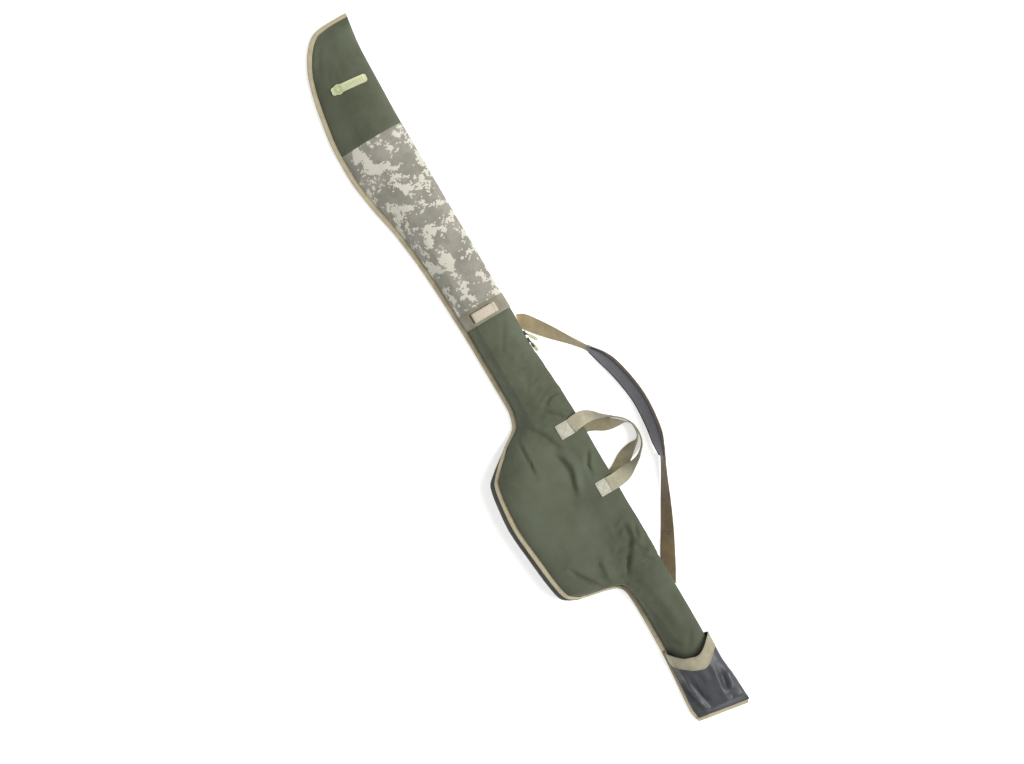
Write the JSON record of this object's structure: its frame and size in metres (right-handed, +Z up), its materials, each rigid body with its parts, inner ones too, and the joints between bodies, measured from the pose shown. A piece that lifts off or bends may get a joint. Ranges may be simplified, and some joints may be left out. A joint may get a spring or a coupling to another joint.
{
  "type": "rod case",
  "caption": "Padded sleeve for one made-up fishing rod, with a side reel pouch, fold-back zipped cover, carry handles, shoulder strap and butt pocket.",
  "frame": {"origin": "centre of the flat underside of the back panel, at mid length on the rod's line, with the case lying on its back", "axes": "+X along the case towards the rod's tip, +Y towards the reel pouch, +Z up through the front; the zip and the shoulder strap are on the -Y side"},
  "size_m": [1.9936, 0.472, 0.0861],
  "materials": {
    "green_polyester": "matt woven polyester with a PU-coated back",
    "camo_polyester": "matt woven polyester, printed in square patches",
    "dark_pvc": "PVC-coated cloth, satin",
    "foam": "open-cell foam sheet",
    "lining": "brushed polyester lining, quilted on foam",
    "band_webbing": "flat woven polypropylene webbing",
    "hook_and_loop": "hook-and-loop tape, loop side",
    "binding_tape": "folded ribbed binding tape",
    "handle_webbing": "flat woven polypropylene webbing, light",
    "strap_webbing": "flat woven polypropylene webbing",
    "pad_mesh": "spacer mesh over foam",
    "zip_tape": "woven zip tape",
    "zip_coil": "nylon coil",
    "dark_metal": "gunmetal lacquered zinc",
    "green_rubber": "moulded soft PVC"
  },
  "bodies": {
    "case": {"back_panel": "green_polyester", "boot_back_panel": "dark_pvc", "back_foam": "foam", "back_lining": "lining", "zip_side_wall": "green_polyester", "tip_hood": "green_polyester", "hood_padding": "lining", "camo_side_panel": "camo_polyester", "pouch_panel": "green_polyester", "side_padding": "lining", "lower_front_panel": "green_polyester", "lower_padding": "lining", "cross_band_side": "band_webbing", "badge": "green_rubber", "reel_gusset": "green_polyester", "seam_binding": "binding_tape", "pouch_back_binding": "binding_tape", "butt_binding": "binding_tape", "tip_binding": "binding_tape", "butt_pocket": "dark_pvc", "pocket_band": "binding_tape", "zip_tape_back": "zip_tape", "zip_teeth_back": "zip_coil", "zip_stop_tip": "dark_metal", "zip_stop_butt": "dark_metal", "back_handle_upper_end": "handle_webbing", "back_handle_lower_end": "handle_webbing", "strap_upper_end": "strap_webbing", "strap_lower_end": "strap_webbing"},
    "cover": {"main_cover_panel": "green_polyester", "camo_cover_panel": "camo_polyester", "cover_padding": "lining", "cross_band": "band_webbing", "tab_sewn_end": "hook_and_loop", "zip_tape_cover": "zip_tape", "zip_teeth_cover": "zip_coil", "front_handle_upper_end": "handle_webbing", "front_handle_lower_end": "handle_webbing"},
    "pole_tab": {"pole_tab": "hook_and_loop"},
    "front_handle": {"front_handle": "handle_webbing"},
    "back_handle": {"back_handle": "handle_webbing"},
    "shoulder_strap": {"strap_upper_webbing": "strap_webbing", "shoulder_pad": "pad_mesh", "pad_webbing": "strap_webbing", "strap_lower_webbing": "strap_webbing"},
    "upper_slider": {"upper_slider": "dark_metal"},
    "upper_pull": {"upper_pull_link": "dark_metal", "upper_pull_grip": "green_rubber"},
    "lower_slider": {"lower_slider": "dark_metal"},
    "lower_pull": {"lower_pull_link": "dark_metal", "lower_pull_grip": "green_rubber"}
  },
  "joints": [
    {"name": "cover_fold", "type": "hinge", "parent": "case", "child": "cover", "pos_m": [0.0645, 0.036, 0.054], "axis": [-1, 0, 0], "range_deg": [0, 110]},
    {"name": "upper_slider_travel", "type": "slide", "parent": "case", "child": "upper_slider", "axis": [1, 0, 0], "range_m": [0, 0.59]},
    {"name": "lower_slider_travel", "type": "slide", "parent": "case", "child": "lower_slider", "axis": [-1, 0, 0], "range_m": [0, 0.57]},
    {"name": "upper_pull_swing", "type": "hinge", "parent": "upper_slider", "child": "upper_pull", "pos_m": [0.081, -0.0607, 0.0313], "axis": [0, 0, 1], "range_deg": [0, 130]},
    {"name": "lower_pull_swing", "type": "hinge", "parent": "lower_slider", "child": "lower_pull", "pos_m": [0.061, -0.0607, 0.0289], "axis": [0, 0, 1], "range_deg": [0, 130]},
    {"name": "front_handle_lift", "type": "hinge", "parent": "cover", "child": "front_handle", "pos_m": [-0.177, -0.043, 0.05841], "axis": [-0.9985, -0.0522, -0.0141], "range_deg": [0, 90]},
    {"name": "back_handle_lift", "type": "hinge", "parent": "case", "child": "back_handle", "pos_m": [-0.19, -0.0592, 0.0024], "axis": [-1, 0, 0], "range_deg": [0, 60]},
    {"name": "shoulder_strap_lift", "type": "hinge", "parent": "case", "child": "shoulder_strap", "pos_m": [0.114, -0.0592, 0.0024], "axis": [-1, 0, 0], "range_deg": [0, 45]},
    {"name": "pole_tab_lift", "type": "hinge", "parent": "cover", "child": "pole_tab", "pos_m": [0.1745, -0.024, 0.06385], "axis": [1, 0, 0], "range_deg": [0, 150]}
  ],
  "couplings": [
    {"joint": "back_handle_lift", "follows": "front_handle_lift", "ratio": 0.6666}
  ]
}
